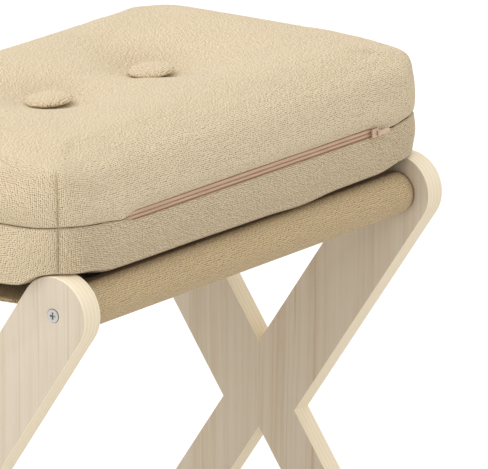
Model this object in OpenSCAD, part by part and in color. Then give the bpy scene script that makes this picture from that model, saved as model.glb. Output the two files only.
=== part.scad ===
// Footrest: two one-piece plywood X panels joined by two round rails, a cloth
// seat slung between the rails, and a loose tufted cushion with a zipped cover.
// X runs across the seat, Y along the rails, Z up from the floor.

/* [X panels] */
// Thickness of the plywood
panel_t = 18; // [15:0.5:24]
// Width of the upper arms
arm_w = 55; // [48:1:60]
// Width of the lower legs
leg_w = 38; // [32:1:44]
// Lean of arms and legs from the vertical, in degrees
lean = 34.25; // [32:0.25:37]
// Height of the crossing above the feet's underside
crossing_h = 137; // [110:1:170]

/* [Rails and screws] */
// Distance between the two rails' axes
rail_spread = 251; // [235:1:265]
// Distance between the panels' inner faces
rail_l = 393; // [370:1:420]
// Diameter of a rail
rail_d = 30; // [26:1:32]
// Diameter of a screw's shank
screw_d = 5; // [4:0.5:6]
// Length of a screw below its head
screw_l = 50; // [40:1:60]
// Diameter of a screw's head
head_d = 9.4; // [8.5:0.1:11]

/* [Glides] */
// Height of a glide's pad
glide_h = 3; // [2:0.5:5]
// Diameter of a glide's pad
glide_d = 15; // [12:0.5:17]

/* [Seat sling] */
// Thickness of one layer of cloth
cloth_t = 1.2; // [0.8:0.1:1.6]
// Bare stretch of rail at each end of the sling
sling_gap = 3; // [1:0.5:8]
// Sag of the sling at its middle
sling_sag = 4.5; // [2:0.5:8]

/* [Cushion] */
// Length of the cushion along the rails
cushion_l = 446; // [430:1:480]
// Width of the cushion
cushion_w = 280; // [274:1:290]
// Radius of its corners, seen from above
corner_r = 37; // [32:1:46]
// Height of the waist seam above the rails' axes
waist_h = 56; // [52:0.5:62]
// Rise of the waist seam towards the corners
waist_lift = 8; // [4:0.5:10]
// Height of the top edge at the corners above the rails' axes
edge_h = 99; // [95:0.5:108]
// Rise of the crown across the cushion
crown_across = 10; // [6:0.5:14]
// Rise of the crown along the cushion
crown_along = 3; // [1:0.5:6]
// Depth of the dimples in the top
dimple_depth = 14; // [8:0.5:16]
// Distance from the middle to each tuft
tuft_y = 60; // [50:1:66]

/* [Buttons] */
// Diameter of a top button
button_d = 33; // [28:1:34]
// Diameter of an underside button
back_button_d = 22; // [18:1:24]
// Diameter of the tufting twine
twine_d = 1.6; // [1.2:0.1:2]

/* [Zip] */
// Half height of the gap that bares the zip
slot_half = 2.2; // [1.8:0.1:2.6]
// Width of one tape
tape_w = 7.5; // [6:0.5:8]
// Length of the slider
slider_l = 9; // [7:0.5:10]
// Height of the slider's plates
slider_h = 6.4; // [5.4:0.2:6.6]
// Length of the pull's tab
pull_l = 13; // [9:0.5:16]

/* [Hidden] */
$fn = 64;

// Colours
ply_colour = "#e6d9c0";
beech_colour = "#d8c3a0";
linen_colour = "#cdb68e";
foam_colour = "#efe9dc";
zip_colour = "#c7a589";
steel_colour = "#a9aeb2";
nylon_colour = "#e9e7e1";

// Clearances and the overrun of every cut
cut = 1;
seat_clear = 0.3;
hole_clear = 0.1;
sleeve_clear = 0.2;

// Levels and places
crossing_z = glide_h + crossing_h;
arm_rise = rail_spread / 2 / tan(lean);
axis_z = crossing_z + arm_rise;
rail_x = rail_spread / 2;
inner_y = rail_l / 2;
outer_y = inner_y + panel_t;
arm_half = arm_w / 2;

// Panel outline, measured from the crossing
notch_x = arm_half / cos(lean);
notch_top = arm_half / sin(lean);
notch_bottom = (leg_w - arm_half) / sin(lean);
foot_outer_x = notch_x + crossing_h * tan(lean);
foot_inner_x = (crossing_h - notch_bottom) * tan(lean);
foot_x = (foot_outer_x + foot_inner_x) / 2;

// Screws
head_h = (head_d - screw_d) / 2;
recess_w = 1.3;
recess_l = 5;
recess_depth = 1.8;
tip_l = 6;
pilot_l = screw_l + head_h - panel_t + hole_clear;

// Glides
spike_d = 2.5;
spike_l = 12;
glide_edge = 0.8;

// Sling
sleeve_in = rail_d / 2 + sleeve_clear;
sleeve_out = sleeve_in + cloth_t;
sling_t = 2 * cloth_t;
sling_l = rail_l - 2 * sling_gap;
sheet_x = rail_x - sleeve_in - cloth_t / 2;
sheet_steps = 24;

// Cushion: half sizes and the surfaces of its top and underside
half_w = cushion_w / 2;
half_l = cushion_l / 2;
seam_pull = 1.8;
edge_roll = 18;
belly_z = axis_z - sling_sag + sling_t / 2 + seat_clear;
contact_turn = 20.6;
contact_x = rail_x - sleeve_out * sin(contact_turn);
rail_rise = axis_z + sleeve_out * cos(contact_turn) + seat_clear - belly_z;
arm_margin = 4;
arm_lift = arm_half - sleeve_out + arm_margin;
dimple_flat = 15;
dimple_reach = 78;
back_dimple_reach = 58;
belly_power = 2.4;
arm_power = 1.5;
crown_power = 3;
back_dimple = 9;
zip_setback = 34;
zip_half = half_l - corner_r - zip_setback;
core_side_clear = 0.4;
core_groove = 7;

// Shares of the straight stretches and heights at which the cushion's rings have points
zip_share = zip_half / (half_l - corner_r);
long_shares = [-1, -zip_share, -0.5, -0.25, 0, 0.25, 0.5, zip_share];
short_shares = [-1, -0.5, 0, 0.5];
corner_shares = [0, 1 / 3, 2 / 3];
side_height_shares = [0, 0.15, 0.42, 0.68, 0.87, 0.97];
side_inset_shares = [0, 0, 0, 0.08, 0.3, 0.62];
crown_shares = [1, 0.84, 0.68, 0.54, 0.43, 0.35, 0.29, 0.23, 0.14, 0.06];
belly_shares = [1, 0.8, 0.6, 0.45, 0.35, 0.29, 0.23, 0.12];

// Zip: places across the cushion's right side, from the outside in
zip_z = axis_z + waist_h;
lip_x = half_w - seam_pull;
tape_t = 0.6;
tape_out = lip_x - cloth_t - seat_clear;
tape_in = tape_out - tape_t;
channel_half = 0.8;
coil_r = 0.65;
coil_x = tape_in - coil_r;
tape_end = 8;
plate_t = 1.2;
plate_gap = 1.1;
plate_x = lip_x + plate_gap;
back_plate_t = 0.9;
coil_clear = 0.2;
back_plate_x = coil_x - coil_r - coil_clear - back_plate_t;
neck_w = 1.2;
neck_l = 3;
slider_y = zip_half - slider_l / 2;
lug_t = 0.8;
lug_l = 2.6;
pin_r = 0.6;
pin_out = 1.3;
pin_x = plate_x + plate_t + pin_out;
pin_back = 1.5;
pin_y = slider_y + pin_back;
eye_r = 1.2;
eye_h = 2.6;
lug_z = eye_h / 2 + hole_clear + lug_t / 2;
tab_h = 3.4;
tab_t = 1;
slot_gap = 0.15;
stop_l = 2;
stop_t = 0.9;
stop_h = 3.2;

// Buttons
boss_share = 0.27;
boss_h = 2.2;
rim_h = 1.4;
dome_h = 2.6;

// Surface of the cushion's top, with a dimple round each tuft
function fade(r, flat, reach) =
  let (u = min(1, max(0, (r - flat) / (reach - flat)))) (1 - u) * (1 - u) * (1 + 2 * u);
function tuft_fade(x, y, flat, reach) =
  1 - (1 - fade(norm([x, y - tuft_y]), flat, reach)) * (1 - fade(norm([x, y + tuft_y]), flat, reach));
function top_z(x, y) = axis_z + edge_h
  + crown_across * (1 - pow(min(1, abs(x) / half_w), crown_power))
  + crown_along * (1 - pow(y / half_l, 2))
  - dimple_depth * tuft_fade(x, y, dimple_flat, dimple_reach);

// Surface of its underside, which rises over the rails and the arms' ends
function under_z(x, y) = belly_z
  + rail_rise * pow(abs(x) / contact_x, belly_power)
  + arm_lift * pow(y / inner_y, 2) * pow(abs(x) / rail_x, arm_power)
  + back_dimple * tuft_fade(x, y, dimple_flat, back_dimple_reach);

// Waist seam, level along the zip and rising beyond it
function waist_z(y) = zip_z + waist_lift * max(0, (abs(y) - zip_half) / (half_l - zip_half));
function waist_gap(p) =
  p[0] > half_w - corner_r && abs(p[1]) < zip_half + slot_gap ? slot_half : slot_gap / 2;

// One ring of points of a rectangle with round corners
function side_points(a, b, r) = concat(
  [for (s = long_shares) [a, s * (b - r)]],
  [for (s = corner_shares) [a - r + r * cos(90 * s), b - r + r * sin(90 * s)]],
  [for (s = short_shares) [-s * (a - r), b]],
  [for (s = corner_shares) [-(a - r) - r * sin(90 * s), b - r + r * cos(90 * s)]],
  [for (s = long_shares) [-a, -s * (b - r)]],
  [for (s = corner_shares) [-(a - r) - r * cos(90 * s), -(b - r) - r * sin(90 * s)]],
  [for (s = short_shares) [s * (a - r), -b]],
  [for (s = corner_shares) [a - r + r * sin(90 * s), -(b - r) - r * cos(90 * s)]]);
function ring(inset) =
  side_points(half_w - inset, half_l - inset, corner_r - min(inset, corner_r / 2));

// Rings of one half, from the waist to the middle: side +1 is the top, -1 the underside
function edge_z(p, side, skin) = side > 0 ? top_z(p[0], p[1]) - skin : under_z(p[0], p[1]) + skin;
function side_ring(i, side, skin, groove) =
  let (
    waist = i == 0 ? seam_pull : 0,
    hollow = i < 2 ? groove : 0,
    inset = max(waist + skin, hollow) + side_inset_shares[i] * edge_roll,
    rim = ring(edge_roll + skin),
    points = ring(inset))
  [for (k = [0 : len(points) - 1])
    let (
      base = waist_z(points[k][1]) + side * (groove > 0 ? 0 : waist_gap(points[k])),
      share = side_height_shares[i])
    [points[k][0], points[k][1], base + share * (edge_z(rim[k], side, skin) - base)]];
function crown_ring(s, side, skin) =
  [for (p = ring(edge_roll + skin)) [s * p[0], s * p[1], edge_z(s * p, side, skin)]];
function half_rings(side, skin, groove) = concat(
  [for (i = [0 : len(side_height_shares) - 1]) side_ring(i, side, skin, groove)],
  [for (s = side > 0 ? crown_shares : belly_shares) crown_ring(s, side, skin)]);
function pole(side, skin) = [0, 0, edge_z([0, 0], side, skin)];

// Faces of stacked rings of n points, with a fan from the last ring to one point
function flat_list(lists) = [for (l = lists) each l];
function reversed(list) = [for (i = [len(list) - 1 : -1 : 0]) list[i]];
function without_first(list) = [for (i = [1 : len(list) - 1]) list[i]];
function quad_faces(p, a, b, c, d) =
  norm(p[b] - p[c]) < norm(p[a] - p[d]) ? [[a, c, b], [b, c, d]] : [[a, c, d], [a, d, b]];
function band_faces(points, rows, n) = [
  for (i = [0 : rows - 2]) for (k = [0 : n - 1])
    let (a = i * n + k, b = i * n + (k + 1) % n) each quad_faces(points, a, b, a + n, b + n)];
function cap_low(n, tip) = [for (k = [0 : n - 1]) [tip, k, (k + 1) % n]];
function cap_high(first, n, tip) = [for (k = [0 : n - 1]) [first + k, tip, first + (k + 1) % n]];

// Closed body from a list of rings that starts and ends at a pole
module ring_body(rings, low_pole, high_pole) {
  n = len(rings[0]);
  rows = len(rings);
  points = concat(flat_list(rings), [low_pole, high_pole]);
  ends = concat(cap_low(n, rows * n), cap_high((rows - 1) * n, n, rows * n + 1));
  faces = concat(band_faces(points, rows, n), ends);
  polyhedron(points, faces, convexity = 6);
}

// Cover half: its outer face, turned over the rim into its inner face
module cover_half(side) {
  outer = half_rings(side, 0, 0);
  inner = half_rings(side, cloth_t, 0);
  if (side > 0)
    ring_body(concat(reversed(inner), outer), pole(side, cloth_t), pole(side, 0));
  else
    ring_body(concat(reversed(outer), inner), pole(side, 0), pole(side, cloth_t));
}

// Holes that the tufting twine passes through
module at_tufts() {
  for (s = [-1, 1]) translate([0, s * tuft_y, 0]) children();
}
module twine_holes() {
  at_tufts()
    translate([0, 0, belly_z - cut])
      cylinder(d = twine_d + 2 * seat_clear, h = top_z(0, 0) + dimple_depth - belly_z + 2 * cut);
}

// Outline of an X panel's straight parts, with the crossing at the origin
module panel_bars() {
  polygon([
    [0, notch_top],
    [rail_x - arm_half * cos(lean), arm_rise + arm_half * sin(lean)],
    [rail_x + arm_half * cos(lean), arm_rise - arm_half * sin(lean)],
    [notch_x, 0],
    [foot_outer_x, -crossing_h],
    [foot_inner_x, -crossing_h],
    [0, -notch_bottom],
    [-foot_inner_x, -crossing_h],
    [-foot_outer_x, -crossing_h],
    [-notch_x, 0],
    [-rail_x - arm_half * cos(lean), arm_rise - arm_half * sin(lean)],
    [-rail_x + arm_half * cos(lean), arm_rise + arm_half * sin(lean)]]);
}

// Rear panel: round arm ends on straight bars, bored for its screws and glides
module rear_x() {
  difference() {
    translate([0, outer_y, crossing_z]) rotate([90, 0, 0]) union() {
      linear_extrude(panel_t) panel_bars();
      for (s = [-1, 1]) translate([s * rail_x, arm_rise, 0]) cylinder(r = arm_half, h = panel_t);
    }
    for (s = [-1, 1]) translate([s * rail_x, outer_y, axis_z]) rotate([90, 0, 0]) {
      cylinder(r1 = head_d / 2 + hole_clear, r2 = screw_d / 2 + hole_clear, h = head_h);
      translate([0, 0, -cut]) cylinder(d = screw_d + 2 * hole_clear, h = panel_t + 2 * cut);
    }
    for (s = [-1, 1])
      translate([s * foot_x, (inner_y + outer_y) / 2, 0])
        cylinder(d = spike_d + 2 * hole_clear, h = glide_h + spike_l + hole_clear);
  }
}
module rear_panel() { color(ply_colour) rear_x(); }
module front_panel() { color(ply_colour) mirror([0, 1, 0]) rear_x(); }

// Rail, with a pilot hole in each end
module rail(side) {
  color(beech_colour)
    translate([side * rail_x, 0, axis_z]) difference() {
      rotate([90, 0, 0]) cylinder(d = rail_d, h = rail_l, center = true);
      for (s = [-1, 1])
        translate([0, s * (inner_y - pilot_l / 2 + cut / 2), 0]) rotate([90, 0, 0])
          cylinder(d = screw_d + 2 * hole_clear, h = pilot_l + cut, center = true);
    }
}
module left_rail() { rail(-1); }
module right_rail() { rail(1); }

// Countersunk screw, its head at the origin and its tip towards -Y
module screw() {
  difference() {
    rotate([90, 0, 0]) union() {
      cylinder(r1 = head_d / 2, r2 = screw_d / 2, h = head_h);
      translate([0, 0, head_h]) cylinder(d = screw_d, h = screw_l - tip_l);
      translate([0, 0, head_h + screw_l - tip_l]) cylinder(r1 = screw_d / 2, r2 = recess_w / 2, h = tip_l);
    }
    for (turn = [0, 90])
      rotate([0, turn, 0]) translate([-recess_l / 2, -recess_depth, -recess_w / 2])
        cube([recess_l, recess_depth + cut, recess_w]);
  }
}
module screw_pair() {
  color(steel_colour) for (s = [-1, 1]) translate([s * rail_x, outer_y, axis_z]) screw();
}
module rear_screws() { screw_pair(); }
module front_screws() { mirror([0, 1, 0]) screw_pair(); }

// Nail-in glide under a foot
module glide() {
  rotate_extrude() polygon([
    [0, 0], [glide_d / 2 - glide_edge, 0], [glide_d / 2, glide_edge], [glide_d / 2, glide_h],
    [spike_d / 2, glide_h], [spike_d / 2, glide_h + spike_l - spike_d], [0, glide_h + spike_l]]);
}
module glide_pair(side) {
  color(nylon_colour) for (s = [-1, 1])
    translate([s * foot_x, side * (inner_y + outer_y) / 2, 0]) glide();
}
module front_glides() { glide_pair(-1); }
module rear_glides() { glide_pair(1); }

// Sling: a sleeve round each rail and the sagging sheet between them
function sheet_z(x) = -sling_sag * (1 - pow(x / sheet_x, 2));
module seat_sling() {
  xs = [for (i = [0 : sheet_steps]) sheet_x * (2 * i / sheet_steps - 1)];
  color(linen_colour)
    translate([0, sling_l / 2, axis_z]) rotate([90, 0, 0]) linear_extrude(sling_l) difference() {
      union() {
        for (s = [-1, 1]) translate([s * rail_x, 0]) circle(r = sleeve_out);
        polygon(concat(
          [for (x = xs) [x, sheet_z(x) - sling_t / 2]],
          [for (x = reversed(xs)) [x, sheet_z(x) + sling_t / 2]]));
      }
      for (s = [-1, 1]) translate([s * rail_x, 0]) circle(r = sleeve_in);
    }
}

// Foam core, grooved at the waist where the zip lies
module cushion_core() {
  skin = cloth_t + core_side_clear;
  color(foam_colour) difference() {
    ring_body(
      concat(reversed(half_rings(-1, skin, core_groove)), without_first(half_rings(1, skin, core_groove))),
      pole(-1, skin), pole(1, skin));
    twine_holes();
  }
}
module cover_top() {
  color(linen_colour) difference() {
    cover_half(1);
    twine_holes();
  }
}
module cover_bottom() {
  color(linen_colour) difference() {
    cover_half(-1);
    twine_holes();
  }
}

// Covered buttons: a domed front on a smaller back boss
tuft_top_z = top_z(0, tuft_y) + seat_clear;
tuft_under_z = under_z(0, tuft_y) - seat_clear;
module button(d) {
  boss_r = d * boss_share;
  rotate_extrude() intersection() {
    union() {
      square([boss_r, boss_h]);
      translate([0, boss_h]) square([d / 2, rim_h]);
      translate([0, boss_h + rim_h]) dome_outline(d / 2);
    }
    square([d, d]);
  }
}
module dome_outline(r) {
  ball = (r * r + dome_h * dome_h) / (2 * dome_h);
  intersection() {
    translate([0, dome_h - ball]) circle(r = ball, $fn = 360);
    square([r, dome_h]);
  }
}
module top_buttons() {
  color(linen_colour) at_tufts() translate([0, 0, tuft_top_z]) button(button_d);
}
module underside_buttons() {
  color(linen_colour) at_tufts()
    translate([0, 0, tuft_under_z]) mirror([0, 0, 1]) button(back_button_d);
}
module tuft_twine() {
  color(foam_colour) at_tufts() translate([0, 0, tuft_under_z])
    cylinder(d = twine_d, h = tuft_top_z - tuft_under_z);
}

// Zip tapes and coils, one of each above and below the channel
module zip_tape(side) {
  low_z = side > 0 ? channel_half : -channel_half - tape_w;
  color(zip_colour) translate([tape_in, -zip_half - tape_end, zip_z + low_z])
    cube([tape_t, 2 * (zip_half + tape_end), tape_w]);
}
module zip_coil(side) {
  color(zip_colour) translate([coil_x, 0, zip_z + side * (channel_half + coil_r)])
    rotate([90, 0, 0]) cylinder(r = coil_r, h = 2 * zip_half, center = true, $fn = 24);
}
module zip_tape_upper() { zip_tape(1); }
module zip_tape_lower() { zip_tape(-1); }
module zip_coil_upper() { zip_coil(1); }
module zip_coil_lower() { zip_coil(-1); }
module zip_stops() {
  color(zip_colour) for (s = [-1, 1])
    translate([tape_out, s * (zip_half + stop_l) - stop_l / 2, zip_z - stop_h / 2])
      cube([stop_t, stop_l, stop_h]);
}

// Slider: two plates on a neck between the coils, with two lugs for the pull's pin
module slider_plate(x, t) {
  translate([x, slider_y, zip_z]) rotate([0, 90, 0]) linear_extrude(t) union() {
    translate([-slider_h / 2, -slider_l / 2]) square([slider_h, slider_l - slider_h / 4]);
    translate([0, slider_l / 2 - slider_h / 2]) circle(d = slider_h, $fn = 32);
  }
}
module zip_slider() {
  color(zip_colour) union() {
    slider_plate(plate_x, plate_t);
    slider_plate(back_plate_x, back_plate_t);
    translate([back_plate_x, slider_y - neck_l / 2, zip_z - neck_w / 2])
      cube([plate_x + plate_t - back_plate_x, neck_l, neck_w]);
    for (s = [-1, 1])
      translate([plate_x + plate_t / 2, pin_y - lug_l / 2, zip_z + s * lug_z - lug_t / 2])
        cube([pin_x + pin_r + lug_t / 2 - plate_x - plate_t / 2, lug_l, lug_t]);
    translate([pin_x, pin_y, zip_z]) cylinder(r = pin_r, h = eye_h + lug_t, center = true, $fn = 32);
  }
}
module zip_pull() {
  color(zip_colour) translate([pin_x, pin_y, zip_z]) difference() {
    union() {
      cylinder(r = eye_r, h = eye_h, center = true, $fn = 32);
      translate([-tab_t / 2, 0, -eye_h / 2]) cube([tab_t, lug_l, eye_h]);
      translate([-tab_t / 2, lug_l, -tab_h / 2]) cube([tab_t, pull_l - lug_l - tab_h / 2, tab_h]);
      translate([-tab_t / 2, pull_l - tab_h / 2, 0])
        rotate([0, 90, 0]) cylinder(d = tab_h, h = tab_t, $fn = 32);
    }
    cylinder(r = pin_r + hole_clear, h = eye_h + 2 * cut, center = true, $fn = 32);
  }
}

front_panel();
rear_panel();
left_rail();
right_rail();
seat_sling();
front_screws();
rear_screws();
front_glides();
rear_glides();
cushion_core();
cover_top();
cover_bottom();
top_buttons();
underside_buttons();
tuft_twine();
zip_tape_upper();
zip_tape_lower();
zip_coil_upper();
zip_coil_lower();
zip_stops();
zip_slider();
zip_pull();
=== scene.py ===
"""Footrest: plywood X panels, round rails, a cloth seat sling and a loose tufted cushion with a zipped cover.

Lengths are in metres in the frame's own axes: X across the seat, Y along the rails, Z up.
"""

import math

import bmesh
import bpy
import numpy as np
from bpy.props import FloatProperty, FloatVectorProperty, IntProperty, PointerProperty
from mathutils import Matrix, Vector, noise


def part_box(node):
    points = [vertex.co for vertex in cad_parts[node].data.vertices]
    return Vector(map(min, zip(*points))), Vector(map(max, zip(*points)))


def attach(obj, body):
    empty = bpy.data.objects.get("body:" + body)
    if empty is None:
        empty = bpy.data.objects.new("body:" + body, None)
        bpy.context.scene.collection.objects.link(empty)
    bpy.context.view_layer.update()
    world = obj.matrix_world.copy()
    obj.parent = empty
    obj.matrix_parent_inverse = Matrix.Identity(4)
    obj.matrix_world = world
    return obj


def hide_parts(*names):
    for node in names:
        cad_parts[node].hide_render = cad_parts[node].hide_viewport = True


bl_info = {
    "name": "Footrest",
    "version": (1, 0, 0),
    "blender": (4, 5, 0),
    "location": "View3D > Sidebar > Footrest",
    "description": "Builds a plywood footrest with a cloth sling and a tufted cushion",
    "category": "Object",
}

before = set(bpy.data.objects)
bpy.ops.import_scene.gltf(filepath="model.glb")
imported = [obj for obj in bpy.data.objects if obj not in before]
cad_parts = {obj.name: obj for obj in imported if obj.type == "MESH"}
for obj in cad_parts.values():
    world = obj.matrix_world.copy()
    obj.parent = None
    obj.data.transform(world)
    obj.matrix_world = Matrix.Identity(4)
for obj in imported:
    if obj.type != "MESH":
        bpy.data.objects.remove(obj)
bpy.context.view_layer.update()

MM = 0.001
PI = math.pi

# Sizes and places that the frame gives
rail_low, rail_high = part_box("right_rail")
panel_low, panel_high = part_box("rear_panel")
slider_low, slider_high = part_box("zip_slider")
cover_high, sling_high, tape_high, button_high, stud_high, screw_high = (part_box(node)[1] for node in (
    "cover_top", "seat_sling", "zip_tape_upper", "top_buttons", "underside_buttons", "rear_screws"))

AXIS_Z = (rail_low.z + rail_high.z) / 2
RAIL_X = (rail_low.x + rail_high.x) / 2
INNER_Y, OUTER_Y = panel_low.y, panel_high.y
PANEL_T = OUTER_Y - INNER_Y
ARM_R = panel_high.x - RAIL_X
FOOT_Z = panel_low.z
HEAD_R = screw_high.x - RAIL_X
SLEEVE_R = sling_high.x - RAIL_X
SLING_Y = sling_high.y
HALF_W, HALF_L = cover_high.x, cover_high.y
BUTTON_R, STUD_R = button_high.x, stud_high.x
TUFT_Y = button_high.y - BUTTON_R
ZIP_X, TAPE_END = tape_high.x, tape_high.y
ZIP_Z = (slider_low.z + slider_high.z) / 2

# Sizes and places that it does not give
HOLE_ROOM = 0.15 * MM  # round a screw's head
SLING_T = 1.2 * MM  # one layer of the sling
SLING_SHOWN_T = 1.1 * MM  # the same in the mesh, so that the layers stay apart
SLING_TOP = 1.3 * MM  # from the middle between the two layers up to the face
SLING_SAG = 4.5 * MM  # at the middle of the seat
REST_GAP = 0.5 * MM  # between the cushion and what it rests on
LEAST_GAP = 0.4 * MM  # the least of it, once the cover is filled
FOAM_INSET = 5 * MM  # from the cover's face to the foam
SEWN_GAP = 0.08 * MM  # half the gap between the cover's halves where they are sewn
CORNER_X = (82 * MM, 124 * MM)  # where the crown begins and ends its fall to a corner
CORNER_Y = (135 * MM, 195 * MM)
OVER_ARMS = (158 * MM, 192 * MM)  # where the underside leaves the sling and lies on the arms
NEAR_MOUTH = (-149 * MM, -138 * MM)  # where the cover's gap opens along the zip
FAR_MOUTH = (143 * MM, 158 * MM)
STOP_Y = 155 * MM  # how far along the zip its end stops are
LIPS = ((1.6 * MM, 0.25 * MM), (4.5 * MM, 0.6 * MM))  # how far in and how far back each row turns
# Half a button's section, from the top's middle round to the underside's, in radii
BUTTON_SHAPE = ((0.0, 0.33), (0.22, 0.323), (0.45, 0.297), (0.66, 0.25), (0.83, 0.185), (0.95, 0.11),
                (1.02, 0.04), (1.04, -0.02), (1.01, -0.08), (0.93, -0.12), (0.8, -0.14), (0.55, -0.15),
                (0.28, -0.155), (0.0, -0.157))
BUTTON_RISE, STUD_RISE = 0.2, 0.15  # how far a button stands out of its dimple, in radii
# Creases round a top button: bearing and width in degrees, and strength
CREASES = ((155, 15, 1.0), (100, 20, 0.6), (52, 14, 0.7), (10, 17, 0.5), (-38, 15, 0.7), (-85, 18, 0.5),
           (-150, 16, 0.8))
# A tape's section in millimetres: out from the zip's face, and away from its middle
TAPE_FRONT = ((0.0, 0.15), (0.25, 0.3), (0.3, 1.0), (0.2, 1.7), (0.0, 2.1), (0.0, 3.2), (0.0, 5.4))
TAPE_BACK = ((-0.6, 5.4), (-0.6, 3.2), (-0.6, 2.1), (-0.7, 1.7), (-0.75, 1.0), (-0.8, 0.3), (-1.5, 0.15))


def srgb(*levels):
    """A colour as the eye reads it, from 0 to 255, as the linear one that shaders use."""
    shares = [level / 255 for level in levels]
    return tuple(s / 12.92 if s <= 0.04045 else ((s + 0.055) / 1.055) ** 2.4 for s in shares)


def length(name, text, millimetres):
    """A length property."""
    return FloatProperty(name=name, description=text, default=millimetres * MM, min=0, max=1, unit="LENGTH",
                         precision=5)


def angle(name, text, degrees):
    """An angle property."""
    return FloatProperty(name=name, description=text, default=math.radians(degrees), subtype="ANGLE")


def tint(name, text, *levels):
    """A colour property."""
    return FloatVectorProperty(name=name, description=text, default=srgb(*levels), size=3, min=0, max=1,
                               subtype="COLOR")


def number(name, text, default, high=10.0):
    """A plain number property."""
    return FloatProperty(name=name, description=text, default=default, min=0, max=high)


class FootrestCushion(bpy.types.PropertyGroup):
    """Sizes of the cushion's cover."""
    corner_radius: length("Corner radius", "Radius of the corners seen from above", 34)
    waist_rise: length("Waist height", "Height of the waist seam above the rails' axes", 56)
    waist_lift: length("Waist lift", "Rise of the waist seam towards the corners", 5.2)
    waist_dip: length("Waist dip", "Dip of the waist seam beyond the closed zip's slider", 1.4)
    edge_rise: length("Edge height", "Height of the top edge at the corners above the rails' axes", 98.5)
    crown_across: length("Crown across", "Rise of the crown across the cushion", 10)
    crown_mid: length("Crown middle", "Rise of the crown halfway along", 2.6)
    crown_ends: length("Crown ends", "Further rise of the crown towards its two ends", 4.6)
    corner_drop: length("Corner drop", "How far the crown falls towards its four corners", 2.9)
    top_round: length("Top rounding", "Rounding of the top edge halfway along a side", 28)
    corner_round: length("Corner rounding", "Rounding of the top edge at a dart seam", 10.5)
    under_round: length("Under rounding", "Rounding of the bottom edge", 3)
    taper: length("Taper", "How far the lower half draws in towards its bottom edge", 2.6)
    lean: length("Lean", "How far the upper half draws in towards its top edge", 1.4)
    bulge: length("Bulge", "How far each half's sides swell between their seams", 2.8)
    slump: length("Slump", "How far the bottom edge hangs down beside the rails", 3.2)
    end_height: length("End height", "Height of the bottom edge at each end above the rails' axes", 15)
    end_rise: length("End rise", "Its further rise from the middle to the arms", 4)
    dimple_depth: length("Dimple depth", "Depth of the dimples round the top buttons", 14.5)
    dimple_reach: length("Dimple reach", "Radius of those dimples", 78)
    dimple_lean: length("Dimple lean", "How much the far dimple is deeper, and the near one less deep", 1.2)
    crease: length("Creases", "Depth of the creases that run out from the top buttons", 0.9)
    button_shift: length("Button shift", "How far along from their tufts the top buttons sit", 4)
    button_tilt: angle("Button tilt", "Tilt of the top buttons, down towards the near left", 5)
    back_dimple: length("Back dimple", "Depth of the dimples in the underside", 9)
    seam_depth: length("Seam depth", "How far the waist seam is drawn in", 2)
    dart_depth: length("Dart depth", "How far a corner's dart seam is drawn in", 1.5)
    slot_half: length("Zip gap", "Half height of the gap that bares the zip", 3.1)
    pressure: number("Pressure", "Pressure of the filling in the cloth simulation", 4)
    step: length("Mesh step", "Distance between the cover mesh's lines", 6)


class FootrestCloth(bpy.types.PropertyGroup):
    """Colours and threads of the linen."""
    # Each lit and dark pair ramps the threads' own uneven tone and also the painted shade in the pits and on
    # the marked parts
    cover: tint("Cover", "Lit colour of the cover's threads", 224, 208, 177)
    cover_dark: tint("Cover shade", "Colour of the pits between the cover's threads", 108, 78, 44)
    sling: tint("Sling", "Lit colour of the sling's threads", 208, 186, 147)
    sling_dark: tint("Sling shade", "Colour of the pits between the sling's threads", 104, 74, 42)
    pitch: length("Thread pitch", "Distance from thread to thread", 1.4)


class FootrestWood(bpy.types.PropertyGroup):
    """Colours and sizes of the wooden pieces."""
    lean: angle("Lean", "Lean of the arms from the vertical", 34.25)
    leg_w: length("Leg width", "Width of the lower legs", 38)
    edge: length("Eased edge", "Rounding of the panels' edges", 0.9)
    veneer: tint("Veneer", "Colour of the face veneer", 212, 201, 183)
    streak: tint("Streak", "Colour of the veneer's darker streaks", 184, 158, 124)
    blush: tint("Blush", "Colour of the veneer's reddish patches", 208, 186, 156)
    ply: tint("Ply", "Colour of the light plies on the edge", 244, 231, 205)
    ply_dark: tint("Dark ply", "Colour of the darker plies on the edge", 226, 206, 172)
    layers: IntProperty(name="Plies", description="Number of plies in a panel", default=9, min=3, max=25)


class FootrestStage(bpy.types.PropertyGroup):
    """Camera and lamps."""
    azimuth: angle("Azimuth", "Camera's turn round the object", 36.08)
    elevation: angle("Elevation", "Camera's height above the horizon", 15.21)
    place: FloatVectorProperty(name="Camera", description="Place of the camera", size=3,
                               default=(2.5325, -3.2975, 1.4445), subtype="TRANSLATION")
    lens: number("Lens", "Focal length in millimetres", 442.6, 1000)
    lamp: number("Key lamp", "Power of the key lamp in watts", 17, 1000)
    front: number("Front lamp", "Power of the low front lamp in watts", 6.5, 1000)
    sky: number("Sky", "Strength of the light from overhead", 1.38)
    horizon: number("Horizon", "Strength of the light from the horizon", 0.55)


def settings(group):
    """The named property group of the scene."""
    return getattr(bpy.context.scene, "footrest_" + group)


# Shaders


def arithmetic(operation, swap=False):
    """A method that adds a Math node; swapped, the other number comes first, as a reflected form needs."""
    def method(self, *others):
        return self.shader.math(operation, *((*others, self) if swap else (self, *others)))
    return method


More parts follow.
